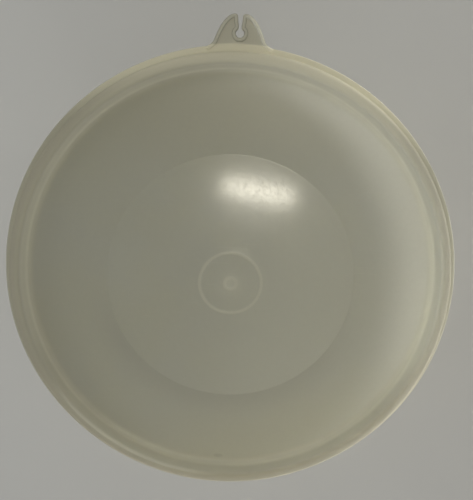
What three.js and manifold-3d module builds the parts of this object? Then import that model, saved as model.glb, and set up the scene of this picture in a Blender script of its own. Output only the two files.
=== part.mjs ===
// Lettuce keeper: a round bowl, a spiked core holder standing on its floor, and a press-on
// seal lid with a hanging tab. Millimetres, +Z up. The origin is the centre of the bowl's
// underside, and +Y points from the axis towards the tab.

import * as THREE from "three";
import { mergeVertices } from "three/addons/utils/BufferGeometryUtils.js";
import Module from "manifold-3d";

const wasm = await Module();
wasm.setup();

// How finely the round forms are cut
const TURN_SEGMENTS = 60;
const CORNER_STEPS = 2;
const WALL_STEPS = 11;

// Seal lid: radii from the axis, heights from the top face of its flat panel
const LID_WALL = 1.4;
const DOME_RADIUS = 64;
const DOME_RISE = 8;
const DOME_BANDS = 5;
const RING_RADIUS = 15.6;
const RING_WIDTH = 2.0;
const RING_HEIGHT = 0.3;
const GATE_RADIUS = 3.0;
const GATE_WIDTH = 1.8;
const GATE_HEIGHT = 0.25;
const PANEL_RADIUS = 104.5;
const BEAD_INNER_RADIUS = 107;
const BEAD_OUTER_RADIUS = 111.5;
const BEAD_HEIGHT = 8;
const BEAD_ROUND = 1.4;
const BEAD_DRAFT = 0.29;
const BEAD_FOOT_ROUND = 3.2;
const SKIRT_FOOT_RADIUS = 112.4;
const FLANGE_RADIUS = 115.6;
const FLANGE_TOP = 0.9;
const FLANGE_BOTTOM = -0.1;

// Hanging tab: a bell-shaped ear with a keyhole that opens through its tip
const TAB_REACH = 14;
const TAB_HALF_BASE = 12.6;
const TAB_FLARE = 3.4;
const TAB_HALF_TOP = 3.4;
const TAB_ROOT_DEPTH = 1.8;
const TAB_TOP = 1.7;
const TAB_BOTTOM = -0.5;
const TAB_RIM = 1.8;
const TAB_POCKET_DEPTH = 0.9;
const KEYHOLE_RADIUS = 2.0;
const KEYHOLE_FROM_EDGE = 5.2;
const KEYHOLE_COLLAR = 1.7;
const SLOT_MOUTH = 2.4;
const SLOT_THROAT = 1.4;

// Bowl: heights from the surface that it stands on
const BOWL_HEIGHT = 140;
const BOWL_WALL = 1.8;
const FLOOR_TOP = 2.6;
const FOOT_RADIUS = 57;
const FOOT_WIDTH = 7;
const FOOT_RECESS = 0.8;
const GATE_PAD_RADIUS = 18;
const WALL_FOOT = new THREE.Vector2(60.5, 1.2);
const WALL_FOOT_PULL = new THREE.Vector2(84, 6);
const WALL_RIM_PULL = new THREE.Vector2(103, 46);
const WALL_RIM = new THREE.Vector2(108.8, 131);
const LIP_OUTER_RADIUS = 110.2;
const LIP_CREST_RADIUS = 109.05;
const LIP_HALF_CREST = 0.75;
const LIP_ROOF_GAP = 0.4;

// Core holder: a slotted tray on pegs with a four-finned spike
const HOLDER_RADIUS = 56;
const HOLDER_PLATE = 1.8;
const HOLDER_RIM_WIDTH = 1.8;
const HOLDER_RIM_HEIGHT = 2;
const HOLDER_FLOOR_GAP = 0.3;
const PEG_COUNT = 6;
const PEG_HEIGHT = 6.5;
const PEG_TOP_RADIUS = 3.0;
const PEG_FOOT_RADIUS = 2.2;
const PEG_CIRCLE = 46;
const PEG_SIDES = 12;
const DRAIN_COUNT = 12;
const DRAIN_INNER = 19;
const DRAIN_OUTER = 40;
const DRAIN_WIDTH = 3;
const SPIKE_HEIGHT = 42;
const SPIKE_HALF_BASE = 9;
const SPIKE_HALF_TIP = 1.1;
const SPIKE_FIN = 2.0;
const SPIKE_BOSS_RADIUS = 12;
const SPIKE_BOSS_HEIGHT = 1.4;

// Heights worked out from the ones above
const LID_PANEL_Z = BOWL_HEIGHT + LIP_ROOF_GAP - (BEAD_HEIGHT - LID_WALL);
const PLATE_BOTTOM = FLOOR_TOP + HOLDER_FLOOR_GAP + PEG_HEIGHT;
const PLATE_TOP = PLATE_BOTTOM + HOLDER_PLATE;

// Frosted polyethylene, yellowed with age
const sealPlastic = new THREE.MeshStandardMaterial({ color: 0x8d8b76, roughness: 0.38, metalness: 0 });
const bowlPlastic = new THREE.MeshStandardMaterial({ color: 0xa6a48f, roughness: 0.42, metalness: 0 });
const holderPlastic = new THREE.MeshStandardMaterial({ color: 0xb9b7a6, roughness: 0.45, metalness: 0 });

/** Turns a profile of (radius, height) points about the Z axis. */
function turned(points) {
  const profile = THREE.ShapeUtils.isClockWise(points) ? [...points].reverse() : points;
  return new THREE.LatheGeometry(profile, TURN_SEGMENTS).rotateX(Math.PI / 2);
}

/** Makes a solid that can be cut and joined from a closed geometry. */
function solid(geometry) {
  const bare = geometry.index ? geometry.toNonIndexed() : geometry.clone();
  bare.deleteAttribute("normal");
  bare.deleteAttribute("uv");
  const merged = mergeVertices(bare, 1e-4);
  const triangles = [];
  for (let i = 0; i < merged.index.count; i += 3) {
    const [a, b, c] = [0, 1, 2].map((k) => merged.index.getX(i + k));
    if (a !== b && b !== c && c !== a) {
      triangles.push(a, b, c);
    }
  }
  const vertProperties = new Float32Array(merged.attributes.position.array);
  const triVerts = new Uint32Array(triangles);
  return new wasm.Manifold(new wasm.Mesh({ numProp: 3, vertProperties, triVerts }));
}

/** Turns a cut or joined solid back into a geometry with flat faces. */
function geometryOf(body) {
  const { vertProperties, triVerts } = body.getMesh();
  const geometry = new THREE.BufferGeometry();
  geometry.setAttribute("position", new THREE.BufferAttribute(vertProperties, 3));
  geometry.setIndex(new THREE.BufferAttribute(triVerts, 1));
  geometry.computeVertexNormals();
  return geometry;
}

/** A flat shape drawn in X and Y, thickened from one height to another. */
function slab(shape, bottom, top) {
  const settings = { depth: top - bottom, bevelEnabled: false, curveSegments: 6 };
  return new THREE.ExtrudeGeometry(shape, settings).translate(0, 0, bottom);
}

/** Height of the lid's dome above the panel at a radius, on a sphere through its edge and crown. */
function domeHeight(radius) {
  const sphere = (DOME_RADIUS ** 2 + DOME_RISE ** 2) / (2 * DOME_RISE);
  return Math.sqrt(sphere ** 2 - radius ** 2) - sphere + DOME_RISE;
}

/** Four profile points of a low moulded ridge that follows the dome. */
function domeRidge(radius, width, height) {
  const shoulder = width / 4;
  return [
    [radius - width / 2, 0],
    [radius - shoulder, height],
    [radius + shoulder, height],
    [radius + width / 2, 0],
  ].map(([r, rise]) => new THREE.Vector2(r, domeHeight(r) + rise));
}

/** Top side of the dome, from the axis out to the crease where the panel starts. */
function domeTop() {
  const points = [new THREE.Vector2(0, domeHeight(0))];
  points.push(...domeRidge(GATE_RADIUS, GATE_WIDTH, GATE_HEIGHT));
  points.push(...domeRidge(RING_RADIUS, RING_WIDTH, RING_HEIGHT));
  for (let band = 2; band <= DOME_BANDS; band += 1) {
    const radius = (DOME_RADIUS * band) / DOME_BANDS;
    points.push(new THREE.Vector2(radius, domeHeight(radius)));
  }
  return points;
}

/** Underside of the dome, from the crease back to the axis. */
function domeUnderside() {
  const points = [];
  for (let band = DOME_BANDS; band >= 0; band -= 1) {
    const radius = (DOME_RADIUS * band) / DOME_BANDS;
    points.push(new THREE.Vector2(radius, domeHeight(radius) - LID_WALL));
  }
  return points;
}

/** Rim of the lid: panel corner, bead, skirt, flange and the groove that takes the bowl's lip. */
function lidRim() {
  const roof = BEAD_HEIGHT - LID_WALL;
  const skirtInner = BEAD_OUTER_RADIUS - LID_WALL + 0.2;
  const grooveInner = BEAD_INNER_RADIUS + 0.9;
  const rim = new THREE.Path();
  rim.moveTo(PANEL_RADIUS - BEAD_FOOT_ROUND, 0);
  rim.quadraticCurveTo(PANEL_RADIUS, 0, PANEL_RADIUS + BEAD_DRAFT * BEAD_FOOT_ROUND, BEAD_FOOT_ROUND);
  rim.lineTo(BEAD_INNER_RADIUS - 0.6, BEAD_HEIGHT - BEAD_ROUND);
  rim.quadraticCurveTo(BEAD_INNER_RADIUS - 0.2, BEAD_HEIGHT, BEAD_INNER_RADIUS + 1.2, BEAD_HEIGHT);
  rim.lineTo(BEAD_OUTER_RADIUS - BEAD_ROUND, BEAD_HEIGHT);
  rim.quadraticCurveTo(BEAD_OUTER_RADIUS, BEAD_HEIGHT, BEAD_OUTER_RADIUS + 0.1, BEAD_HEIGHT - BEAD_ROUND);
  rim.lineTo(SKIRT_FOOT_RADIUS - 0.1, FLANGE_TOP + 1);
  rim.quadraticCurveTo(SKIRT_FOOT_RADIUS, FLANGE_TOP, SKIRT_FOOT_RADIUS + 1, FLANGE_TOP);
  rim.lineTo(FLANGE_RADIUS - 0.4, FLANGE_TOP);
  rim.lineTo(FLANGE_RADIUS, FLANGE_TOP - 0.4);
  rim.lineTo(FLANGE_RADIUS, FLANGE_BOTTOM + 0.3);
  rim.lineTo(FLANGE_RADIUS - 0.3, FLANGE_BOTTOM);
  rim.lineTo(skirtInner + 1.3, FLANGE_BOTTOM);
  rim.lineTo(skirtInner + 0.7, FLANGE_BOTTOM + 0.7);
  rim.lineTo(skirtInner, roof - 0.6);
  rim.quadraticCurveTo(skirtInner - 0.1, roof, skirtInner - 0.7, roof);
  rim.lineTo(grooveInner + 0.8, roof);
  rim.quadraticCurveTo(grooveInner + 0.2, roof, grooveInner, roof - 0.6);
  rim.lineTo(grooveInner - 1.6, FLANGE_BOTTOM + 0.7);
  rim.quadraticCurveTo(PANEL_RADIUS + 1.2, -LID_WALL, PANEL_RADIUS - 0.9, -LID_WALL);
  return rim.getPoints(CORNER_STEPS);
}

/** Outline of an ear on the flange: a straight root, flared feet and sides drawn in to a narrow tip. */
function bellOutline(root, tip, halfBase, flare, halfTop) {
  const halfRoot = halfBase + flare;
  const feet = Math.sqrt(FLANGE_RADIUS ** 2 - halfRoot ** 2) - 0.2;
  const sides = FLANGE_RADIUS + 2;
  const waist = FLANGE_RADIUS + 0.6 * (tip - FLANGE_RADIUS);
  const shape = new THREE.Shape();
  shape.moveTo(-halfRoot, root);
  shape.lineTo(halfRoot, root);
  shape.lineTo(halfRoot, feet);
  shape.quadraticCurveTo(halfBase + 0.6, FLANGE_RADIUS - 0.3, halfBase - 0.4, sides);
  shape.bezierCurveTo(halfBase - 2.8, waist, halfTop + 3.4, tip - 0.5, halfTop - 0.6, tip);
  shape.lineTo(-halfTop + 0.6, tip);
  shape.bezierCurveTo(-halfTop - 3.4, tip - 0.5, -halfBase + 2.8, waist, -halfBase + 0.4, sides);
  shape.quadraticCurveTo(-halfBase - 0.6, FLANGE_RADIUS - 0.3, -halfRoot, feet);
  shape.closePath();
  return shape;
}

/** The keyhole: a round hole joined to a slot that widens towards the tab's tip. */
function keyholeShape(centre, tip) {
  const halfThroat = SLOT_THROAT / 2;
  const shoulder = Math.sqrt(KEYHOLE_RADIUS ** 2 - halfThroat ** 2);
  const shape = new THREE.Shape();
  shape.moveTo(halfThroat, centre + shoulder);
  shape.lineTo(halfThroat, centre + shoulder + 2);
  shape.lineTo(SLOT_MOUTH / 2, tip + 1);
  shape.lineTo(-SLOT_MOUTH / 2, tip + 1);
  shape.lineTo(-halfThroat, centre + shoulder + 2);
  shape.lineTo(-halfThroat, centre + shoulder);
  const mouth = Math.atan2(shoulder, halfThroat);
  shape.absarc(0, centre, KEYHOLE_RADIUS, Math.PI - mouth, 2 * Math.PI + mouth, false);
  return shape;
}

/** The hanging tab: an ear with a raised rim down its sides and a collar round the keyhole. */
function hangingTab() {
  const tip = FLANGE_RADIUS + TAB_REACH;
  const root = FLANGE_RADIUS - TAB_ROOT_DEPTH;
  const centre = FLANGE_RADIUS + KEYHOLE_FROM_EDGE;
  const ear = bellOutline(root, tip, TAB_HALF_BASE, TAB_FLARE, TAB_HALF_TOP);
  const pocket = bellOutline(root - 1, tip - TAB_RIM, TAB_HALF_BASE - TAB_RIM, TAB_FLARE, TAB_HALF_TOP);
  const collar = new THREE.Shape();
  collar.absarc(0, centre, KEYHOLE_RADIUS + KEYHOLE_COLLAR, 0, 2 * Math.PI, false);
  const lips = new THREE.Shape();
  const halfLips = SLOT_MOUTH / 2 + 1;
  lips.moveTo(-halfLips, centre);
  lips.lineTo(halfLips, centre);
  lips.lineTo(halfLips, tip);
  lips.lineTo(-halfLips, tip);
  lips.closePath();
  const pocketFloor = TAB_TOP - TAB_POCKET_DEPTH;
  const overTop = TAB_TOP + 1;
  const hollow = solid(slab(pocket, pocketFloor, overTop))
    .subtract(solid(slab(collar, pocketFloor - 1, overTop + 1)))
    .subtract(solid(slab(lips, pocketFloor - 1, overTop + 1)));
  const keyhole = solid(slab(keyholeShape(centre, tip), TAB_BOTTOM - 1, overTop));
  return solid(slab(ear, TAB_BOTTOM, TAB_TOP)).subtract(hollow).subtract(keyhole);
}

/** Seal lid: dome, panel and rim in one turned wall, with the tab moulded onto the flange. */
function sealLid() {
  const cover = solid(turned([...domeTop(), ...lidRim(), ...domeUnderside()]));
  const lid = new THREE.Mesh(geometryOf(cover.add(hangingTab())), sealPlastic);
  lid.name = "seal_lid";
  lid.position.z = LID_PANEL_Z;
  return lid;
}

/** Points along the bowl's curved wall, set in from its outer face by a distance. */
function bowlWall(inset) {
  const curve = new THREE.CubicBezierCurve(WALL_FOOT, WALL_FOOT_PULL, WALL_RIM_PULL, WALL_RIM);
  const points = [];
  for (let step = 0; step <= WALL_STEPS; step += 1) {
    const along = step / WALL_STEPS;
    const tangent = curve.getTangent(along);
    const inward = new THREE.Vector2(-tangent.y, tangent.x);
    points.push(curve.getPoint(along).addScaledVector(inward, inset));
  }
  return points;
}

/** Underside of the bowl: a gate pad, a shallow recess and the foot ring. */
function bowlUnderside() {
  const footInner = FOOT_RADIUS - FOOT_WIDTH;
  return [
    [0, 0],
    [GATE_PAD_RADIUS, 0],
    [GATE_PAD_RADIUS + 1, FOOT_RECESS],
    [footInner - 1, FOOT_RECESS],
    [footInner, 0],
    [FOOT_RADIUS, 0],
    [FOOT_RADIUS + 2, 0.35],
  ].map(([radius, height]) => new THREE.Vector2(radius, height));
}

/** Lip of the bowl: a thickened edge that reaches up into the groove of the lid. */
function bowlLip() {
  const lip = new THREE.Path();
  lip.moveTo(LIP_OUTER_RADIUS - 0.3, LID_PANEL_Z - 1.2);
  lip.lineTo(LIP_OUTER_RADIUS, LID_PANEL_Z);
  lip.lineTo(LIP_OUTER_RADIUS - 0.05, LID_PANEL_Z + 1.2);
  lip.lineTo(LIP_CREST_RADIUS + LIP_HALF_CREST, BOWL_HEIGHT - 0.8);
  lip.quadraticCurveTo(LIP_CREST_RADIUS + LIP_HALF_CREST, BOWL_HEIGHT, LIP_CREST_RADIUS, BOWL_HEIGHT);
  lip.quadraticCurveTo(
    LIP_CREST_RADIUS - LIP_HALF_CREST,
    BOWL_HEIGHT,
    LIP_CREST_RADIUS - LIP_HALF_CREST,
    BOWL_HEIGHT - 0.8,
  );
  lip.lineTo(WALL_RIM.x - BOWL_WALL + 0.2, LID_PANEL_Z + 0.4);
  return lip.getPoints(CORNER_STEPS);
}

/** Bowl: one turned wall from the foot ring up to the lip and back down to a flat floor. */
function bowl() {
  const floorEdge = new THREE.Vector2(WALL_FOOT.x - 4, FLOOR_TOP);
  const floorCentre = new THREE.Vector2(0, FLOOR_TOP);
  const inside = bowlWall(BOWL_WALL).reverse();
  const profile = [...bowlUnderside(), ...bowlWall(0), ...bowlLip(), ...inside, floorEdge, floorCentre];
  const mesh = new THREE.Mesh(geometryOf(solid(turned(profile))), bowlPlastic);
  mesh.name = "bowl";
  return mesh;
}

/** Tray of the core holder: a flat plate with a low turned-up rim. */
function holderTray() {
  const rimTop = PLATE_TOP + HOLDER_RIM_HEIGHT;
  const rimInner = HOLDER_RADIUS - HOLDER_RIM_WIDTH;
  const tray = new THREE.Path();
  tray.moveTo(0, PLATE_BOTTOM);
  tray.lineTo(HOLDER_RADIUS - 2, PLATE_BOTTOM);
  tray.quadraticCurveTo(HOLDER_RADIUS, PLATE_BOTTOM, HOLDER_RADIUS, PLATE_BOTTOM + 2);
  tray.lineTo(HOLDER_RADIUS, rimTop - 0.8);
  tray.lineTo(HOLDER_RADIUS - 0.5, rimTop);
  tray.lineTo(rimInner + 0.5, rimTop);
  tray.lineTo(rimInner, rimTop - 0.8);
  tray.quadraticCurveTo(rimInner, PLATE_TOP, rimInner - 1.4, PLATE_TOP);
  tray.lineTo(0, PLATE_TOP);
  return solid(turned(tray.getPoints(CORNER_STEPS)));
}

/** Long drain slot with round ends, lying along +X. */
function drainSlot() {
  const half = DRAIN_WIDTH / 2;
  const shape = new THREE.Shape();
  shape.absarc(DRAIN_OUTER - half, 0, half, -Math.PI / 2, Math.PI / 2, false);
  shape.absarc(DRAIN_INNER + half, 0, half, Math.PI / 2, 1.5 * Math.PI, false);
  shape.closePath();
  return slab(shape, PLATE_BOTTOM - 1, PLATE_TOP + 1);
}

/** One tapered peg that the core holder stands on, at a radius along +X. */
function holderPeg() {
  const sunk = HOLDER_PLATE / 2;
  const peg = new THREE.CylinderGeometry(PEG_TOP_RADIUS, PEG_FOOT_RADIUS, PEG_HEIGHT + sunk, PEG_SIDES);
  return peg.rotateX(Math.PI / 2).translate(PEG_CIRCLE, 0, PLATE_BOTTOM + sunk - (PEG_HEIGHT + sunk) / 2);
}

/** Upright blade of the spike, drawn in to a blunt point, standing in the XZ plane. */
function spikeBlade() {
  const shape = new THREE.Shape();
  shape.moveTo(-SPIKE_HALF_BASE, 0);
  shape.lineTo(SPIKE_HALF_BASE, 0);
  shape.quadraticCurveTo(SPIKE_HALF_BASE * 0.42, SPIKE_HEIGHT * 0.3, SPIKE_HALF_TIP, SPIKE_HEIGHT - 1.5);
  shape.lineTo(0, SPIKE_HEIGHT);
  shape.lineTo(-SPIKE_HALF_TIP, SPIKE_HEIGHT - 1.5);
  shape.quadraticCurveTo(-SPIKE_HALF_BASE * 0.42, SPIKE_HEIGHT * 0.3, -SPIKE_HALF_BASE, 0);
  const sunk = HOLDER_PLATE / 2;
  return slab(shape, -SPIKE_FIN / 2, SPIKE_FIN / 2)
    .rotateX(Math.PI / 2)
    .scale(1, 1, (SPIKE_HEIGHT + sunk) / SPIKE_HEIGHT)
    .translate(0, 0, PLATE_TOP - sunk);
}

/** Core holder: the tray with its drain slots, pegs and spike as one moulding. */
function coreHolder() {
  let body = holderTray();
  const bossBottom = PLATE_TOP - HOLDER_PLATE / 2;
  const bossTop = PLATE_TOP + SPIKE_BOSS_HEIGHT;
  const boss = new THREE.Shape();
  boss.absarc(0, 0, SPIKE_BOSS_RADIUS, 0, 2 * Math.PI, false);
  body = body.add(solid(slab(boss, bossBottom, bossTop)));
  for (let i = 0; i < DRAIN_COUNT; i += 1) {
    const angle = (2 * Math.PI * (i + 0.5)) / DRAIN_COUNT;
    body = body.subtract(solid(drainSlot().rotateZ(angle)));
  }
  for (let i = 0; i < PEG_COUNT; i += 1) {
    body = body.add(solid(holderPeg().rotateZ((2 * Math.PI * i) / PEG_COUNT)));
  }
  for (const angle of [0, Math.PI / 2]) {
    body = body.add(solid(spikeBlade().rotateZ(angle)));
  }
  const mesh = new THREE.Mesh(geometryOf(body), holderPlastic);
  mesh.name = "core_holder";
  return mesh;
}

const keeper = new THREE.Group();
keeper.add(bowl(), coreHolder(), sealLid());

export default keeper;
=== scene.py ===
"""Looks of a lettuce keeper: a frosted bowl, the core holder inside it and its press-on seal lid.

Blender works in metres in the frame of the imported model: +Z up, the origin under the middle of the bowl, and +Y
from the axis towards the lid's hanging tab. The classes hold their sizes in millimetres, as a maker would write
them, and MM turns a size into metres. A plain number in a profile is an offset in millimetres that shapes one
corner.
"""

import logging
import math
from collections.abc import Callable, Sequence
from dataclasses import dataclass
from enum import Enum
from functools import reduce

import bmesh
import bpy
from mathutils import Matrix, Quaternion, Vector


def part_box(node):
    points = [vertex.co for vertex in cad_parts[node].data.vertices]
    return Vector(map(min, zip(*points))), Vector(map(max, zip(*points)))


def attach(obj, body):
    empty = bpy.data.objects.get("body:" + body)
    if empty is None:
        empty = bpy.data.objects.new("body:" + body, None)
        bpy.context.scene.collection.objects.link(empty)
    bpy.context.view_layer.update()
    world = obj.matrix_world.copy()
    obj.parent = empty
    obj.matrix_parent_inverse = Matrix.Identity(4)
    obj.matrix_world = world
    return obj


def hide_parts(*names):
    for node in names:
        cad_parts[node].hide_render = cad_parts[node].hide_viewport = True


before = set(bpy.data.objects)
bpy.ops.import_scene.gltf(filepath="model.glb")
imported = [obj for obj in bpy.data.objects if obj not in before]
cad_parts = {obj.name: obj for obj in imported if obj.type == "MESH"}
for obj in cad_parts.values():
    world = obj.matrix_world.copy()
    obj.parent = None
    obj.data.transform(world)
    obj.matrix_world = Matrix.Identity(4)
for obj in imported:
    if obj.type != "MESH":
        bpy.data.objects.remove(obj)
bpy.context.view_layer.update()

MM = 0.001
MERGED = 0.002 * MM
COLLAPSED = 0.001 * MM
SHORTEST_STEP = 0.25

Point = tuple[float, float]
Place = tuple[float, float, float]
Colour = tuple[float, float, float]
Socket = bpy.types.NodeSocket
Thing = bpy.types.Object
Material = bpy.types.Material

logging.basicConfig(level=logging.INFO, format="%(message)s")
log = logging.getLogger("keeper")


class Joining(Enum):
    """How one solid is put together with another."""

    JOIN = "UNION"
    CUT = "DIFFERENCE"


class LampRole(Enum):
    """What a lamp does in the studio."""

    KEY = "key_softbox"
    SIDE = "side_window"
    FRONT = "front_window"
    FILL = "front_fill"
    LEFT = "left_fill"


class Aim(Enum):
    """What a lamp is aimed at."""

    CROWN = "the top of the lid's dome"
    WALL = "the middle of the keeper, at the height of the bowl's wall"


@dataclass(frozen=True)
class Pattern:
    """A noise pattern: features to a metre, number of finer layers, and the range of its values that counts."""

    scale: float
    detail: float
    low: float = 0.0
    high: float = 1.0


class Graph:
    """A node tree with short ways to add nodes and link them."""

    def __init__(self, tree: bpy.types.NodeTree) -> None:
        """Keeps the tree that nodes are added to."""
        self.tree = tree

    def add(self, kind: str, feeds: dict[str, object] | None = None, **settings: object) -> bpy.types.Node:
        """Adds a node.

        Args:
            kind: Blender's type name of the node.
            feeds: sockets or plain values for its inputs, by name.
            settings: properties of the node, by name.

        Returns:
            The new node.
        """
        node = self.tree.nodes.new(kind)
        for name, value in settings.items():
            setattr(node, name, value)
        for label, source in (feeds or {}).items():
            self.feed(node.inputs[label], source)
        return node

    def feed(self, target: Socket, source: object) -> None:
        """Links a socket to the target, or sets the target to a plain value.

        Args:
            target: the socket that is fed.
            source: another node's socket, or a plain value.
        """
        if isinstance(source, Socket):
            self.tree.links.new(source, target)
        else:
            target.default_value = source

    def worked(self, kind: str, operation: str, values: Sequence[object]) -> Socket:
        """Adds a node that works out one value.

        Args:
            kind: Blender's type name of the node.
            operation: what it works out, such as MULTIPLY.
            values: sockets or plain numbers, in order.

        Returns:
            The socket with the result.
        """
        node = self.add(kind, operation=operation)
        for socket, value in zip(node.inputs, values):
            self.feed(socket, value)
        return node.outputs[0]

    def math(self, operation: str, *values: object) -> Socket:
        """Works out a number from others."""
        return self.worked("ShaderNodeMath", operation, values)

    def whole(self, operation: str, *values: object) -> Socket:
        """Works out a whole number from others."""
        return self.worked("FunctionNodeIntegerMath", operation, values)

    def times(self, first: object, second: object) -> Socket:
        """The product of two values."""
        return self.math("MULTIPLY", first, second)

    def plus(self, first: object, second: object) -> Socket:
        """The sum of two values."""
        return self.math("ADD", first, second)

    def minus(self, first: object, second: object) -> Socket:
        """The first value less the second."""
        return self.math("SUBTRACT", first, second)

    def rest(self, share: object) -> Socket:
        """What a share leaves of 1."""
        return self.minus(1.0, share)

    def most(self, first: object, second: object) -> Socket:
        """The larger of two values."""
        return self.math("MAXIMUM", first, second)

    def squares(self, first: object, second: object) -> Socket:
        """The sum of the squares of two values."""
        return self.plus(self.math("POWER", first, 2.0), self.math("POWER", second, 2.0))

    def distance(self, first: object, second: object) -> Socket:
        """How far a point with two coordinates lies from their origin."""
        return self.math("SQRT", self.squares(first, second))

    def parts(self, place: Socket) -> tuple[Socket, Socket, Socket]:
        """The three coordinates of a place."""
        return tuple(self.add("ShaderNodeSeparateXYZ", {"Vector": place}).outputs)

    def spread(
        self, value: object, low: float, high: float, to_low: float = 0.0, to_high: float = 1.0
    ) -> Socket:
        """Maps a value from one range to another, smoothly and without passing its ends.

        Args:
            value: the socket to map.
            low: value that gives to_low.
            high: value that gives to_high.
            to_low: result at the low end.
            to_high: result at the high end.

        Returns:
            The socket with the mapped value.
        """
        node = self.add("ShaderNodeMapRange", interpolation_type="SMOOTHSTEP")
        for socket, number in zip(node.inputs, (value, low, high, to_low, to_high)):
            self.feed(socket, number)
        return node.outputs[0]

    def over(self, value: object, span: Point, to_low: float = 0.0, to_high: float = 1.0) -> Socket:
        """Spreads a length over a span in millimetres."""
        return self.spread(value, span[0] * MM, span[1] * MM, to_low, to_high)

    def within(self, value: object, pattern: Pattern, to_low: float = 0.0, to_high: float = 1.0) -> Socket:
        """Spreads a pattern's value over the range of it that counts."""
        return self.spread(value, pattern.low, pattern.high, to_low, to_high)

    def noise(self, place: Socket, pattern: Pattern) -> Socket:
        """The plain value of a noise pattern at a place."""
        feeds = {"Vector": place, "Scale": pattern.scale, "Detail": pattern.detail}
        return self.add("ShaderNodeTexNoise", feeds).outputs[0]

    def marks(self, place: Socket, pattern: Pattern, strength: float = 1.0) -> Socket:
        """A noise pattern as marks, from 0 beside a mark up to its strength in it."""
        return self.within(self.noise(place, pattern), pattern, 0.0, strength)

    def stretched(self, place: Socket, scale: Place, turn: Place = (0.0, 0.0, 0.0)) -> Socket:
        """Turns coordinates and then scales them.

        Args:
            place: the coordinates.
            scale: how closely a pattern lies along each axis.
            turn: Euler turn in degrees.

        Returns:
            The socket with the new coordinates.
        """
        angles = [math.radians(angle) for angle in turn]
        return self.add("ShaderNodeMapping", {"Vector": place, "Rotation": angles, "Scale": scale}).outputs[0]

    def mix(self, share: object, first: object, second: object) -> Socket:
        """Mixes two colours.

        Args:
            share: how much of the second colour shows.
            first: colour under the mix.
            second: colour laid over it.

        Returns:
            The socket with the mixed colour.
        """
        node = self.add("ShaderNodeMix", {"Factor": share}, data_type="RGBA", blend_type="MIX")
        for socket, colour in zip((node.inputs[6], node.inputs[7]), (first, second)):
            self.feed(socket, colour if isinstance(colour, Socket) else (*colour, 1.0))
        return node.outputs[2]


class Profile:
    """A line of (radius, height) points that a wall is turned from."""

    def __init__(self, radius: float, height: float) -> None:
        """Starts the line at a point."""
        self.points: list[Point] = [(radius, height)]

    def line(self, *points: Point) -> "Profile":
        """Runs straight through the points in turn."""
        self.points.extend(points)
        return self

    def curve(self, pull: Point, end: Point, steps: int = 6) -> "Profile":
        """Rounds a corner.

        Args:
            pull: the corner that the round is drawn towards.
            end: where the round ends.
            steps: number of short lines in the round.

        Returns:
            The same profile.
        """
        start = self.points[-1]
        for step in range(1, steps + 1):
            t = step / steps
            parts = zip(start, pull, end)
            self.points.append(tuple((1 - t) ** 2 * a + 2 * t * (1 - t) * b + t * t * c for a, b, c in parts))
        return self

    def follow(self, height: Callable[[float], float], radii: Sequence[float]) -> "Profile":
        """Follows a height that depends on the radius, at each of the radii."""
        self.points.extend((radius, height(radius)) for radius in radii)
        return self


def spaced(start: float, stop: float, steps: int) -> list[float]:
    """Evenly spaced values after start, up to and including stop."""
    return [start + (stop - start) * step / steps for step in range(1, steps + 1)]


def bezier(a: Point, b: Point, c: Point, d: Point, steps: int) -> list[Point]:
    """Points along a cubic curve.

    Args:
        a: where the curve starts.
        b: what it is drawn towards first.
        c: what it is drawn towards last.
        d: where it ends.
        steps: number of short lines.

    Returns:
        The points, both ends included.
    """
    points = []
    for step in range(steps + 1):
        t = step / steps
        weights = ((1 - t) ** 3, 3 * t * (1 - t) ** 2, 3 * t * t * (1 - t), t**3)
        points.append(tuple(sum(w * p[axis] for w, p in zip(weights, (a, b, c, d))) for axis in (0, 1)))
    return points


def inset(points: Sequence[Point], distance: float) -> list[Point]:
    """Moves a line of points sideways.

    Args:
        points: the line, in order.
        distance: how far it moves to the left of the way it runs.

    Returns:
        The moved points.
    """
    moved = []
    for i, (x, y) in enumerate(points):
        before, after = points[max(i - 1, 0)], points[min(i + 1, len(points) - 1)]
        dx, dy = after[0] - before[0], after[1] - before[1]
        length = math.hypot(dx, dy)
        moved.append((x - dy / length * distance, y + dx / length * distance))
    return moved


def unfolded(points: Sequence[Point], moved: Sequence[Point]) -> list[Point]:
    """Leaves out the points where a moved line doubles back or bunches up.

    Args:
        points: the line before it was moved.
        moved: the same points after the move.

    Returns:
        The moved points that run on the way the line does.
    """
    kept = [moved[0]]
    for (before, after), place in zip(zip(points, points[1:]), moved[1:]):
        ahead = sum((b - a) * (q - p) for a, b, p, q in zip(before, after, kept[-1], place))
        if ahead > 0.0 and math.dist(kept[-1], place) > SHORTEST_STEP:
            kept.append(place)
    return kept


def new_object(name: str, mesh: bpy.types.Mesh) -> Thing:
    """Puts a mesh into the scene as an object at the origin.

    Args:
        name: name of the object.
        mesh: its mesh.

    Returns:
        The new object.
    """
    thing = bpy.data.objects.new(name, mesh)
    bpy.context.scene.collection.objects.link(thing)
    return thing


def path_object(name: str, points: Sequence[Place]) -> Thing:
    """Makes a line of edges through points.

    Args:
        name: name of the object.
        points: places in millimetres, in order.

    Returns:
        An object that holds only the line.
    """
    mesh = bpy.data.meshes.new(name)
    edges = [(i, i + 1) for i in range(len(points) - 1)]
    mesh.from_pydata([Vector(point) * MM for point in points], edges, [])
    return new_object(name, mesh)


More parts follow.
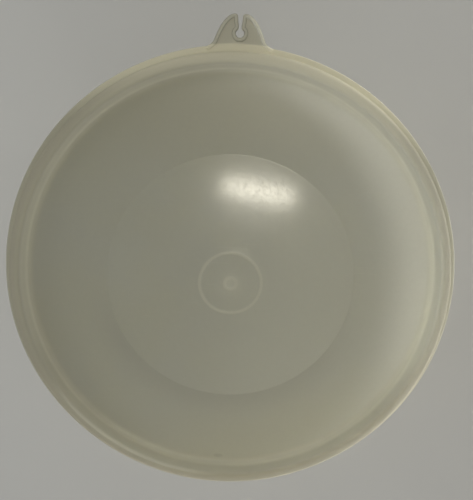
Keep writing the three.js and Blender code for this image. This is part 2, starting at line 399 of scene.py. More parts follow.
def slab_object(name: str, outline: Sequence[Point], bottom: float, top: float) -> Thing:
    """Makes a flat plate with an outline.

    Args:
        name: name of the object.
        outline: corners in millimetres, anticlockwise seen from above.
        bottom: height of the lower face.
        top: height of the upper face.

    Returns:
        The plate as a closed object.
    """
    shape = bmesh.new()
    ring = [shape.verts.new((x * MM, y * MM, bottom * MM)) for x, y in outline]
    face = shape.faces.new(ring)
    lifted = bmesh.ops.extrude_face_region(shape, geom=[face])["geom"]
    up = Vector((0, 0, (top - bottom) * MM))
    corners = [part for part in lifted if isinstance(part, bmesh.types.BMVert)]
    bmesh.ops.translate(shape, vec=up, verts=corners)
    bmesh.ops.recalc_face_normals(shape, faces=shape.faces)
    bmesh.ops.triangulate(shape, faces=[flat for flat in shape.faces if len(flat.verts) > 4])
    mesh = bpy.data.meshes.new(name)
    shape.to_mesh(mesh)
    shape.free()
    return new_object(name, mesh)


def evaluated_mesh(thing: Thing, name: str) -> bpy.types.Mesh:
    """Makes a plain mesh of an object with its modifiers applied.

    Args:
        thing: the object.
        name: name of the new mesh.

    Returns:
        The new mesh.
    """
    graph = bpy.context.evaluated_depsgraph_get()
    mesh = bpy.data.meshes.new_from_object(thing.evaluated_get(graph), depsgraph=graph)
    mesh.name = name
    return mesh


def settle(thing: Thing) -> Thing:
    """Replaces an object's mesh by what its modifiers make of it, and removes them.

    Args:
        thing: the object, with its modifiers.

    Returns:
        The same object.
    """
    mesh = evaluated_mesh(thing, thing.name)
    thing.modifiers.clear()
    thing.data = mesh
    return thing


def combine(base: Thing, tool: Thing, how: Joining, tangled: bool = False) -> Thing:
    """Joins a solid to a base, or cuts it from it, and removes it.

    Args:
        base: the solid that is kept.
        tool: the solid that is joined or cut.
        how: whether it joins or cuts.
        tangled: whether one of the solids passes through itself.

    Returns:
        The base with its new mesh.
    """
    step = base.modifiers.new(tool.name, "BOOLEAN")
    step.operation = how.value
    step.solver = "EXACT"
    step.use_self = tangled
    step.object = tool
    settle(base)
    bpy.data.objects.remove(tool)
    return base


def finish_shading(thing: Thing, sharp_degrees: float) -> None:
    """Closes doubled points, turns the faces outwards and shades them smooth up to an angle.

    Args:
        thing: the object to finish.
        sharp_degrees: edges that turn by more than this stay sharp.
    """
    shape = bmesh.new()
    shape.from_mesh(thing.data)
    bmesh.ops.remove_doubles(shape, verts=shape.verts, dist=MERGED)
    bmesh.ops.dissolve_degenerate(shape, edges=shape.edges, dist=COLLAPSED)
    bmesh.ops.recalc_face_normals(shape, faces=shape.faces)
    for face in shape.faces:
        face.smooth = True
    shape.to_mesh(thing.data)
    shape.free()
    thing.data.set_sharp_from_angle(angle=math.radians(sharp_degrees))


class NodeRecipe:
    """A geometry node tree that is built once, with named inputs, and run on objects."""

    def __init__(self, name: str, inputs: dict[str, str]) -> None:
        """Makes the tree with its inputs.

        Args:
            name: name of the tree.
            inputs: kind of each input socket, by its name.
        """
        self.tree = bpy.data.node_groups.new(name, "GeometryNodeTree")
        self.identifiers: dict[str, str] = {}
        for label, kind in inputs.items():
            socket = self.tree.interface.new_socket(label, in_out="INPUT", socket_type=kind)
            self.identifiers[label] = socket.identifier
        self.tree.interface.new_socket("Solid", in_out="OUTPUT", socket_type="NodeSocketGeometry")
        self.graph = Graph(self.tree)
        self.given = self.graph.add("NodeGroupInput").outputs

    def end(self, geometry: Socket) -> None:
        """Ends the tree with real geometry that wears the material given to it.

        Args:
            geometry: what the tree has made.
        """
        real = self.graph.add("GeometryNodeRealizeInstances", {"Geometry": geometry})
        feeds = {"Geometry": real.outputs[0], "Material": self.given["Material"]}
        wear = self.graph.add("GeometryNodeSetMaterial", feeds)
        self.graph.add("NodeGroupOutput", {"Solid": wear.outputs[0]})

    def run(self, thing: Thing, **values: object) -> Thing:
        """Runs the tree on an object and keeps the plain mesh that it makes.

        Args:
            thing: the object whose mesh goes in.
            values: value of each input, by its name with spaces as underscores.

        Returns:
            The same object.
        """
        step = thing.modifiers.new(self.tree.name, "NODES")
        step.node_group = self.tree
        for label, value in values.items():
            step[self.identifiers[label.replace("_", " ")]] = value
        thing.update_tag()
        return settle(thing)


class TurnedWall(NodeRecipe):
    """Turns a line of points about the Z axis into a closed wall."""

    def __init__(self) -> None:
        """Builds the tree: a grid with a row for each profile point, bent round the axis."""
        kinds = {
            "Profile": "NodeSocketGeometry",
            "Segments": "NodeSocketInt",
            "Material": "NodeSocketMaterial",
        }
        super().__init__("turned_wall", kinds)
        graph = self.graph
        profile, segments = self.given["Profile"], self.given["Segments"]
        count = graph.add("GeometryNodeAttributeDomainSize", {"Geometry": profile}, component="MESH")
        columns = graph.whole("ADD", segments, 1)
        size = {"Vertices X": count.outputs["Point Count"], "Vertices Y": columns}
        grid = graph.add("GeometryNodeMeshGrid", size)
        index = graph.add("GeometryNodeInputIndex").outputs[0]
        feeds = {
            "Geometry": profile,
            "Value": graph.add("GeometryNodeInputPosition").outputs[0],
            "Index": graph.whole("DIVIDE_FLOOR", index, columns),
        }
        sample = graph.add("GeometryNodeSampleIndex", feeds, data_type="FLOAT_VECTOR", domain="POINT")
        radius, _, height = graph.parts(sample.outputs[0])
        turn = graph.math("DIVIDE", graph.whole("MODULO", index, columns), segments)
        angle = graph.times(turn, 2 * math.pi)
        feeds = {
            "X": graph.times(radius, graph.math("SINE", angle)),
            "Y": graph.times(radius, graph.math("COSINE", angle)),
            "Z": height,
        }
        place = graph.add("ShaderNodeCombineXYZ", feeds).outputs[0]
        bent = graph.add("GeometryNodeSetPosition", {"Geometry": grid.outputs["Mesh"], "Position": place})
        closed = graph.add("GeometryNodeMergeByDistance", {"Geometry": bent.outputs[0], "Distance": MERGED})
        self.end(closed.outputs[0])

    def make(self, name: str, profile: Sequence[Point], segments: int, material: Material) -> Thing:
        """Turns a profile.

        Args:
            name: name of the piece.
            profile: (radius, height) points in millimetres.
            segments: number of flats round the axis.
            material: what the wall is made of.

        Returns:
            The wall as an object.
        """
        line = path_object(name, [(radius, 0, height) for radius, height in profile])
        return self.run(line, Segments=segments, Material=material)


class BeadOnPath(NodeRecipe):
    """Lays a round bead along a line of points."""

    def __init__(self) -> None:
        """Builds the tree: a circle swept along the line, with closed ends."""
        kinds = {
            "Path": "NodeSocketGeometry",
            "Radius": "NodeSocketFloat",
            "Sides": "NodeSocketInt",
            "Material": "NodeSocketMaterial",
        }
        super().__init__("bead_on_path", kinds)
        graph, given = self.graph, self.given
        line = graph.add("GeometryNodeMeshToCurve", {"Mesh": given["Path"]})
        feeds = {"Resolution": given["Sides"], "Radius": given["Radius"]}
        ring = graph.add("GeometryNodeCurvePrimitiveCircle", feeds)
        feeds = {"Curve": line.outputs[0], "Profile Curve": ring.outputs[0], "Fill Caps": True}
        self.end(graph.add("GeometryNodeCurveToMesh", feeds).outputs[0])


class SpikedTray(NodeRecipe):
    """Cuts a ring of slots in a tray and stands rings of pegs and fins on it."""

    def __init__(self) -> None:
        """Builds the tree: rings of copies, cut from the tray and joined to it."""
        kinds = {"Tray": "NodeSocketGeometry"}
        for item in ("Slot", "Peg", "Fin"):
            kinds[item] = "NodeSocketObject"
            kinds[f"{item} Count"] = "NodeSocketInt"
        kinds["Material"] = "NodeSocketMaterial"
        super().__init__("spiked_tray", kinds)
        graph = self.graph
        feeds = {"Mesh 1": self.given["Tray"], "Mesh 2": self.ring("Slot", 0.5)}
        cut = graph.add("GeometryNodeMeshBoolean", feeds, operation=Joining.CUT.value, solver="EXACT")
        feeds = {"Self Intersection": True}
        join = graph.add("GeometryNodeMeshBoolean", feeds, operation=Joining.JOIN.value, solver="EXACT")
        for solid in (cut.outputs["Mesh"], self.ring("Peg", 0.0), self.ring("Fin", 0.0)):
            graph.feed(join.inputs["Mesh 2"], solid)
        self.end(join.outputs["Mesh"])

    def ring(self, item: str, phase: float) -> Socket:
        """Copies an object round the axis.

        Args:
            item: name of the inputs that hold the object and its count.
            phase: share of one step that the ring is turned by.

        Returns:
            The socket with the copies as real geometry.
        """
        graph = self.graph
        count = self.given[f"{item} Count"]
        feeds = {"Object": self.given[item]}
        source = graph.add("GeometryNodeObjectInfo", feeds, transform_space="ORIGINAL")
        places = graph.add("GeometryNodePoints", {"Count": count})
        step = graph.plus(graph.add("GeometryNodeInputIndex").outputs[0], phase)
        angle = graph.times(graph.math("DIVIDE", step, count), 2 * math.pi)
        feeds = {
            "Points": places.outputs[0],
            "Instance": source.outputs["Geometry"],
            "Rotation": graph.add("ShaderNodeCombineXYZ", {"Z": angle}).outputs[0],
        }
        copies = graph.add("GeometryNodeInstanceOnPoints", feeds)
        return graph.add("GeometryNodeRealizeInstances", {"Geometry": copies.outputs[0]}).outputs[0]


class AgedSurface:
    """The shader group that ages a moulded plastic: cloudy haze, yellowing, scuffs and fine relief."""

    INPUTS: dict[str, tuple[str, object]] = {
        "Place": ("NodeSocketVector", (0.0, 0.0, 0.0)),
        "Plastic": ("NodeSocketColor", (0.5, 0.5, 0.5, 1.0)),
        "Yellowed": ("NodeSocketColor", (0.5, 0.5, 0.4, 1.0)),
        "Cloud": ("NodeSocketFloat", 0.5),
        "Scuffs": ("NodeSocketFloat", 0.5),
        "Sheen": ("NodeSocketFloat", 0.35),
        "Polish": ("NodeSocketFloat", 0.5),
    }
    OUTPUTS: dict[str, str] = {
        "Colour": "NodeSocketColor",
        "Roughness": "NodeSocketFloat",
        "Gloss": "NodeSocketFloat",
        "Relief": "NodeSocketFloat",
    }
    HAZE = Pattern(22.0, 4.0, 0.3, 0.7)
    HAZE_ROUGH = 0.06
    PATCHES = Pattern(40.0, 2.0, 0.42, 0.7)
    SCRATCH = Pattern(1.0, 2.0, 0.66, 0.74)
    SCRATCH_SLOWNESS = 18.0
    SCRATCH_WAYS: tuple[tuple[Place, float], ...] = (
        ((12, 8, 33), 700.0), ((-9, 14, -58), 900.0), ((5, -11, 101), 800.0),
    )
    SCUFFED: Colour = (0.78, 0.77, 0.7)
    SCUFF_PALENESS = 0.35
    SCUFF_ROUGH = 0.25
    SCUFF_DULLNESS = 0.5
    SCUFF_DEPTH = 0.5
    GRAIN = Pattern(1800.0, 2.0, 0.35, 0.65)
    GRAIN_ROUGH: Point = (-0.06, 0.08)
    GRAIN_HEIGHT = 0.25
    BLOTCHES = Pattern(480.0, 2.0, 0.38, 0.64)
    BLOTCH_GLOSS: Point = (1.0, 0.7)
    BLOTCH_HEIGHT = 0.36

    def __init__(self) -> None:
        """Builds the group with its named inputs and outputs."""
        self.tree = bpy.data.node_groups.new("aged_surface", "ShaderNodeTree")
        for label, (kind, value) in self.INPUTS.items():
            socket = self.tree.interface.new_socket(label, in_out="INPUT", socket_type=kind)
            socket.default_value = value
        for label, kind in self.OUTPUTS.items():
            self.tree.interface.new_socket(label, in_out="OUTPUT", socket_type=kind)
        self.graph = Graph(self.tree)
        self.given = self.graph.add("NodeGroupInput").outputs
        self.build()

    def scratches(self, way: tuple[Place, float]) -> Socket:
        """Adds a set of thin straight marks that all run about one way.

        Args:
            way: their direction, as an Euler turn in degrees, and how closely they lie across their length.

        Returns:
            The socket with the marks, 1 in a mark and 0 beside it.
        """
        turn, density = way
        scale = (self.SCRATCH_SLOWNESS, density, density)
        return self.graph.marks(self.graph.stretched(self.given["Place"], scale, turn), self.SCRATCH)

    def build(self) -> None:
        """Builds the patterns and links them to the outputs."""
        graph, given = self.graph, self.given
        place = given["Place"]
        haze = graph.times(graph.marks(place, self.HAZE), given["Cloud"])
        scratches = reduce(graph.most, map(self.scratches, self.SCRATCH_WAYS))
        scuffs = graph.times(graph.times(scratches, graph.marks(place, self.PATCHES)), given["Scuffs"])
        grain, blotches = graph.noise(place, self.GRAIN), graph.noise(place, self.BLOTCHES)
        aged = graph.mix(haze, given["Plastic"], given["Yellowed"])
        rough = graph.plus(given["Sheen"], graph.times(haze, self.HAZE_ROUGH))
        rough = graph.plus(rough, graph.times(scuffs, self.SCUFF_ROUGH))
        gloss = graph.times(given["Polish"], graph.within(blotches, self.BLOTCHES, *self.BLOTCH_GLOSS))
        relief = graph.plus(graph.times(grain, self.GRAIN_HEIGHT), graph.times(blotches, self.BLOTCH_HEIGHT))
        results = {
            "Colour": graph.mix(graph.times(scuffs, self.SCUFF_PALENESS), aged, self.SCUFFED),
            "Roughness": graph.plus(rough, graph.within(grain, self.GRAIN, *self.GRAIN_ROUGH)),
            "Gloss": graph.times(gloss, graph.rest(graph.times(scuffs, self.SCUFF_DULLNESS))),
            "Relief": graph.minus(relief, graph.times(scuffs, self.SCUFF_DEPTH)),
        }
        graph.add("NodeGroupOutput", results)


@dataclass(frozen=True)
class Look:
    """What a finish gives to its shader, as sockets."""

    colour: Socket
    rough: Socket
    gloss: Socket


@dataclass(frozen=True)
class Spot:
    """Where a point lies on a turned piece, as sockets: its coordinates and its distance from the axis."""

    x: Socket
    y: Socket
    z: Socket
    radius: Socket


@dataclass(frozen=True, kw_only=True)
class FrostedPlastic:
    """A translucent moulded polyethylene that has aged."""

    name: str
    plastic: Colour
    yellowed: Colour
    glow: Colour
    clearness: float
    sheen: float
    gloss: float
    cloud: float
    scuffs: float
    index: float = 1.51
    shine: float = 0.85
    coat_rough: float = 0.19
    coat_index: float = 1.8
    relief: float = 0.12
    relief_height: float = 0.1

    def material(self, ageing: AgedSurface) -> Material:
        """Builds the material.

        Args:
            ageing: the shared group of age marks.

        Returns:
            The material, with its ageing group linked.
        """
        material = bpy.data.materials.new(self.name)
        material.use_nodes = True
        material.node_tree.nodes.clear()
        graph = Graph(material.node_tree)
        place = graph.add("ShaderNodeTexCoord").outputs["Object"]
        feeds = {
            "Place": place,
            "Plastic": (*self.plastic, 1.0),
            "Yellowed": (*self.yellowed, 1.0),
            "Cloud": self.cloud,
            "Scuffs": self.scuffs,
            "Sheen": self.sheen,
            "Polish": self.gloss,
        }
        aged = graph.add("ShaderNodeGroup", feeds, node_tree=ageing.tree).outputs
        feeds = {"Strength": self.relief, "Distance": self.relief_height * MM, "Height": aged["Relief"]}
        bump = graph.add("ShaderNodeBump", feeds)
        look = self.wear_and_painted_light(graph, place, Look(aged["Colour"], aged["Roughness"], aged["Gloss"]))
        feeds = {
            "Base Color": look.colour,
            "Roughness": look.rough,
            "IOR": self.index,
            "Specular IOR Level": self.shine,
            "Coat Weight": look.gloss,
            "Coat Roughness": self.coat_rough,
            "Coat IOR": self.coat_index,
            "Normal": bump.outputs[0],
        }
        surface = graph.add("ShaderNodeBsdfPrincipled", feeds)
        through = graph.add("ShaderNodeBsdfTranslucent", {"Color": (*self.glow, 1.0)})
        blend = graph.add("ShaderNodeMixShader")
        for socket, part in zip(blend.inputs, (self.clearness, surface.outputs[0], through.outputs[0])):
            graph.feed(socket, part)
        graph.add("ShaderNodeOutputMaterial", {"Surface": blend.outputs[0]})
        return material

    def wear_and_painted_light(self, graph: Graph, place: Socket, aged: Look) -> Look:
        """Adds the wear and painted light of one piece to the aged surface; a plain piece has none."""
        return aged


@dataclass(frozen=True, kw_only=True)
class SealPlastic(FrostedPlastic):
    """The lid's plastic, yellower where the rim is thicker and in the tab, with painted light and shade in its
    colours.

    Each colour is that of one place: painted light on the dome's lower right and painted shade just outside it,
    painted shade at the top of the panel, painted light towards the lower right and in a crescent on the right, the
    painted light, shade and highlight lines along the rim, the tab with painted shade on its bead, the rubbed
    rings and a small stain. Spans, edges and reaches are in millimetres, a ring is its radius and width, and a share
    is how much of a colour shows.
    """

    # Painted shade: the top of the panel is painted darker.
    painted_shade_top: Colour
    # Painted light: the lower right of the dome is painted lighter.
    crown: Colour
    shaded: Colour
    # Painted light: a pale crescent on the right of the panel.
    painted_light_crescent: Colour
    # Painted light: near-white paint on the rim's inner side within the crescent of light.
    painted_pale_light: Colour
    rim: Colour
    # Painted shade: a darker line on the bead's outer shoulder.
    shoulder: Colour
    # Painted light and shade: the bead's foot is painted lighter, and this is the darker, lower copy of the wall
    # colour.
    foot: Colour
    # Painted light: the lower right of the panel is painted lighter.
    painted_light_lower_right: Colour
    # The rim is darker and browner towards the lower right.
    rim_lower_tone: Colour
    # Painted light: the crest of the upper rim, towards the tab, is painted pale.
    hand_wear_and_painted_light: Colour
    # Painted light: the lit, upper copy of the bead's inner wall colour.
    wall: Colour
    # Painted shade: the sides of the tab's bead, between its top and the web.
    painted_tab_bead_shade: Colour
    edge: Colour
    rubbed: Colour
    mark: Colour
    panel_z: float
    dulled: float = 0.5
    # The lower right side, where the panel takes painted light and the rim is darker and browner.
    low_span: Point = (60.0, 102.0)
    low_lean: float = 0.35
    painted_light_lower_right_share: float = 0.85
    # Where the painted shade at the top of the panel lies, and how much of it shows.
    high_span: Point = (40.0, 95.0)
    painted_shade_top_share: float = 0.95
    # The dome's edge, and the lower right of it that takes painted light.
    crown_edge: Point = (63.4, 64.4)
    crown_span: Point = (-10.0, 45.0)
    crown_lean: float = 0.4
    shade_reach: float = 80.0
    shade_span: Point = (0.0, -45.0)
    # Where the crescent of painted light lies, and how much of it shows low down.
    painted_light_crescent_centre: Point = (-30.5, -5.5)
    painted_light_crescent_edge: Point = (104.5, 128.5)
    painted_light_crescent_low: float = 0.5
    upper_span: Point = (-75.0, -10.0)
    # Where the painted light on the upper rim lies, and how far it hides the shoulder's shade.
    painted_light_top_span: Point = (72.0, 108.0)
    painted_light_top_lean: float = 0.15
    painted_light_top_cover: float = 0.8
    rim_edge: Point = (100.5, 104.5)
    # Rings of painted shade on the shoulder, and of painted light at the bead's foot and on its inner wall.
    rim_shoulder: Point = (110.4, 4.4)
    rim_foot: Point = (104.6, 5.0)
    foot_painted_light: float = 0.6
    bead_wall: Point = (105.4, 2.8)
    bead_crest: Point = (106.4, 110.4)
    crest_low: float = 0.15
    # How much painted pale light the bead's inner side takes.
    inner_painted_light: float = 0.5
    # Painted highlight: a pale line along the bead's inner edge at the lower left.
    painted_highlight_line: Point = (106.9, 2.4)
    painted_highlight_way: Point = (-0.5, -0.866)
    painted_highlight_span: Point = (92.0, 106.0)
    rings: tuple[Point, Point] = ((15.6, 2.0), (2.9, 2.8))
    rings_share: float = 0.9
    ring_fade: Point = (0.2, 0.55)
    middle_reach: float = 11.0
    middle_share: float = 0.45
    tab_edge: Point = (115.9, 116.7)
    web_rise: Point = (0.6, 0.9)
    bead_rise: Point = (1.25, 1.55)
    mark_place: Point = (-3.0, -100.4)
    mark_size: Point = (3.3, 1.3)
    mark_fade: Point = (0.2, 1.0)
    mark_share: float = 0.7

    def ring(self, graph: Graph, spot: Spot, ring: Point) -> Socket:
        """Makes a mask of a thin ring.

        Args:
            graph: the material's nodes.
            spot: the point on the lid.
            ring: radius of the ring's middle, and its width.

        Returns:
            The socket with the mask, 1 on the ring.
        """
        middle, width = ring
        away = graph.math("ABSOLUTE", graph.minus(spot.radius, middle * MM))
        return graph.over(away, tuple(share * width for share in self.ring_fade), 1.0, 0.0)

    def raised(self, graph: Graph, spot: Spot, rise: Point) -> Socket:
        """A mask of what lies higher above the panel than a rise."""
        return graph.over(spot.z, tuple(self.panel_z + height for height in rise))

    def panel(self, graph: Graph, spot: Spot, low: Socket, colour: Socket) -> Socket:
        """Paints the panel and the dome, with painted light at the lower right and painted shade at the top.

        Args:
            graph: the material's nodes.
            spot: the point on the lid.
            low: mask of the lower side.
            colour: the aged colour.

        Returns:
            The socket with the painted colour.
        """
        # Painted light: the lower right of the panel is painted lighter.
        colour = graph.mix(graph.times(low, self.painted_light_lower_right_share), colour, self.painted_light_lower_right)
        # Painted shade: the top of the panel is painted darker.
        colour = graph.mix(graph.over(spot.y, self.high_span, 0.0, self.painted_shade_top_share), colour, self.painted_shade_top)
        crown = graph.over(spot.radius, self.crown_edge, 1.0, 0.0)
        near = graph.over(spot.radius, (self.crown_edge[1], self.shade_reach), 1.0, 0.0)
        below = graph.over(spot.y, self.shade_span)
        colour = graph.mix(graph.times(graph.minus(near, crown), below), colour, self.shaded)
        # Painted light: the lower right of the dome is painted lighter.
        right = graph.over(graph.minus(spot.x, graph.times(spot.y, self.crown_lean)), self.crown_span)
        return graph.mix(graph.times(crown, right), colour, self.crown)

    def rim_lines(self, graph: Graph, spot: Spot, low: Socket, painted_pale_light: Socket, wall: Socket) -> Socket:
        """Paints the lines that run round the rim, with painted light, a painted shade line and a painted highlight.

        Args:
            graph: the material's nodes.
            spot: the point on the lid.
            low: mask of the lower side.
            painted_pale_light: mask of the side with painted pale light.
            wall: colour of the bead's inner wall, with painted light on its upper side.

        Returns:
            The socket with the rim's colour.
        """
        # Painted light: the crest of the upper rim, towards the tab, is painted pale.
        reach = graph.plus(spot.y, graph.times(graph.most(spot.x, 0.0), self.painted_light_top_lean))
        painted_light_top = graph.over(reach, self.painted_light_top_span)
        crest = graph.over(spot.radius, self.bead_crest, self.crest_low)
        # The rim is darker and browner towards the lower right.
        rim = graph.mix(low, self.rim, self.rim_lower_tone)
        rim = graph.mix(graph.times(painted_light_top, crest), rim, self.hand_wear_and_painted_light)
        bare = graph.rest(graph.times(painted_light_top, self.painted_light_top_cover))
        # Painted shade: a dark line on the shoulder, mostly left off under the painted light at the top.
        rim = graph.mix(graph.times(self.ring(graph, spot, self.rim_shoulder), bare), rim, self.shoulder)
        # Painted light: the bead's inner side is painted pale within the crescent.
        inner = graph.times(graph.rest(crest), self.inner_painted_light)
        rim = graph.mix(graph.times(painted_pale_light, inner), rim, self.painted_pale_light)
        # Painted light: the ring at the bead's foot is painted lighter, palest in the crescent.
        foot = graph.mix(graph.times(painted_pale_light, self.foot_painted_light), self.foot, self.painted_pale_light)
        rim = graph.mix(self.ring(graph, spot, self.rim_foot), rim, foot)
        # Painted highlight: a pale line along the bead's inner edge at the lower left.
        toward = graph.plus(graph.times(spot.x, self.painted_highlight_way[0]), graph.times(spot.y, self.painted_highlight_way[1]))
        line = graph.times(graph.over(toward, self.painted_highlight_span), self.ring(graph, spot, self.painted_highlight_line))
        return graph.mix(line, rim, wall)

    def marked(self, graph: Graph, spot: Spot, tab: Socket, colour: Socket) -> Socket:
        """Paints the rubbed rings in the middle, the tab with painted shade on its bead's sides, and the small stain.

        Args:
            graph: the material's nodes.
            spot: the point on the lid.
            tab: mask of the tab.
            colour: the colour so far.

        Returns:
            The socket with the painted colour.
        """
        rings = graph.most(*(self.ring(graph, spot, ring) for ring in self.rings))
        middle = graph.over(spot.radius, (0.0, self.middle_reach), self.middle_share, 0.0)
        colour = graph.mix(graph.most(graph.times(rings, self.rings_share), middle), colour, self.rubbed)
        colour = graph.mix(tab, colour, self.edge)
        # Painted shade on the sides of the tab's bead, between its top and the web.
        colour = graph.mix(graph.times(tab, self.raised(graph, spot, self.web_rise)), colour, self.painted_tab_bead_shade)
        colour = graph.mix(graph.times(tab, self.raised(graph, spot, self.bead_rise)), colour, self.edge)
        away = [
            graph.math("DIVIDE", graph.minus(part, middle * MM), half * MM)
            for part, middle, half in zip((spot.x, spot.y), self.mark_place, self.mark_size)
        ]
        stain = graph.spread(graph.squares(*away), *self.mark_fade, self.mark_share, 0.0)
        return graph.mix(stain, colour, self.mark)

    def wear_and_painted_light(self, graph: Graph, place: Socket, aged: Look) -> Look:
        """Adds the lid's colours, with their painted light and shade, and dulls the rim and tab that hands rub.

        Args:
            graph: the material's nodes.
            place: coordinates on the lid.
            aged: the aged surface.

        Returns:
            The surface with its colours and painted light and shade.
        """
        x, y, z = graph.parts(place)
        spot = Spot(x, y, z, graph.distance(x, y))
        thick_rim, tab = graph.over(spot.radius, self.rim_edge), graph.over(spot.radius, self.tab_edge)
        low = graph.over(graph.minus(graph.times(x, self.low_lean), y), self.low_span)
        # Painted light: a crescent on the right of the panel, weaker low down.
        off = [graph.minus(part, middle * MM) for part, middle in zip((x, y), self.painted_light_crescent_centre)]
        painted_light_crescent_mask = graph.over(graph.distance(*off), self.painted_light_crescent_edge)
        painted_light_upward = graph.over(y, self.upper_span, self.painted_light_crescent_low)
        # Painted light: the upper part of the crescent, where the rim's inner side is painted pale.
        painted_pale_light = graph.times(painted_light_crescent_mask, graph.over(y, self.upper_span))
        # Painted light and shade: the bead's inner wall takes a lit colour above and a darker one below.
        wall = graph.mix(painted_light_upward, self.foot, self.wall)
        colour = self.panel(graph, spot, low, aged.colour)
        # Paints the crescent of light on the panel.
        colour = graph.mix(graph.times(painted_light_crescent_mask, painted_light_upward), colour, self.painted_light_crescent)
        rim = self.rim_lines(graph, spot, low, painted_pale_light, wall)
        colour = graph.mix(graph.minus(thick_rim, tab), colour, rim)
        # Painted light: the bead's inner wall is painted pale within the crescent.
        wall = graph.mix(painted_pale_light, wall, self.painted_pale_light)
        # Painted light on the bead's inner wall.
        colour = graph.mix(self.ring(graph, spot, self.bead_wall), colour, wall)
        rough = graph.plus(aged.rough, graph.times(thick_rim, self.dulled))
        gloss = graph.times(aged.gloss, graph.rest(thick_rim))
        return Look(self.marked(graph, spot, tab, colour), rough, gloss)


@dataclass(frozen=True, kw_only=True)
class BowlPlastic(FrostedPlastic):
    """The bowl's plastic: yellower up to the lip that hands hold, rubbed pale at the foot and in level marks."""

    # On the bowl this is hand wear only: yellower up to the lip.
    hand_wear_and_painted_light: Colour
    rubbed: Colour
    held: Point = (80.0, 138.0)
    held_share: float = 0.8
    foot: Point = (7.0, 0.3)
    foot_share: float = 0.7
    level_marks: Pattern = Pattern(1.0, 3.0, 0.59, 0.72)
    mark_scale: Place = (20.0, 20.0, 620.0)
    mark_share: float = 0.6
    rub_rough: float = 0.25

    def wear_and_painted_light(self, graph: Graph, place: Socket, aged: Look) -> Look:
        """Adds the bowl's own wear to the aged surface.

        Args:
            graph: the material's nodes.
            place: coordinates on the bowl.
            aged: the aged surface.

        Returns:
            The surface with its wear.
        """
        height = graph.parts(place)[2]
        colour = graph.mix(graph.over(height, self.held, 0.0, self.held_share), aged.colour, self.hand_wear_and_painted_light)
        marks = graph.marks(graph.stretched(place, self.mark_scale), self.level_marks, self.mark_share)
        rubbed = graph.most(marks, graph.over(height, self.foot, 0.0, self.foot_share))
        rough = graph.plus(aged.rough, graph.times(rubbed, self.rub_rough))
        gloss = graph.times(aged.gloss, graph.rest(rubbed))
        return Look(graph.mix(rubbed, colour, self.rubbed), rough, gloss)


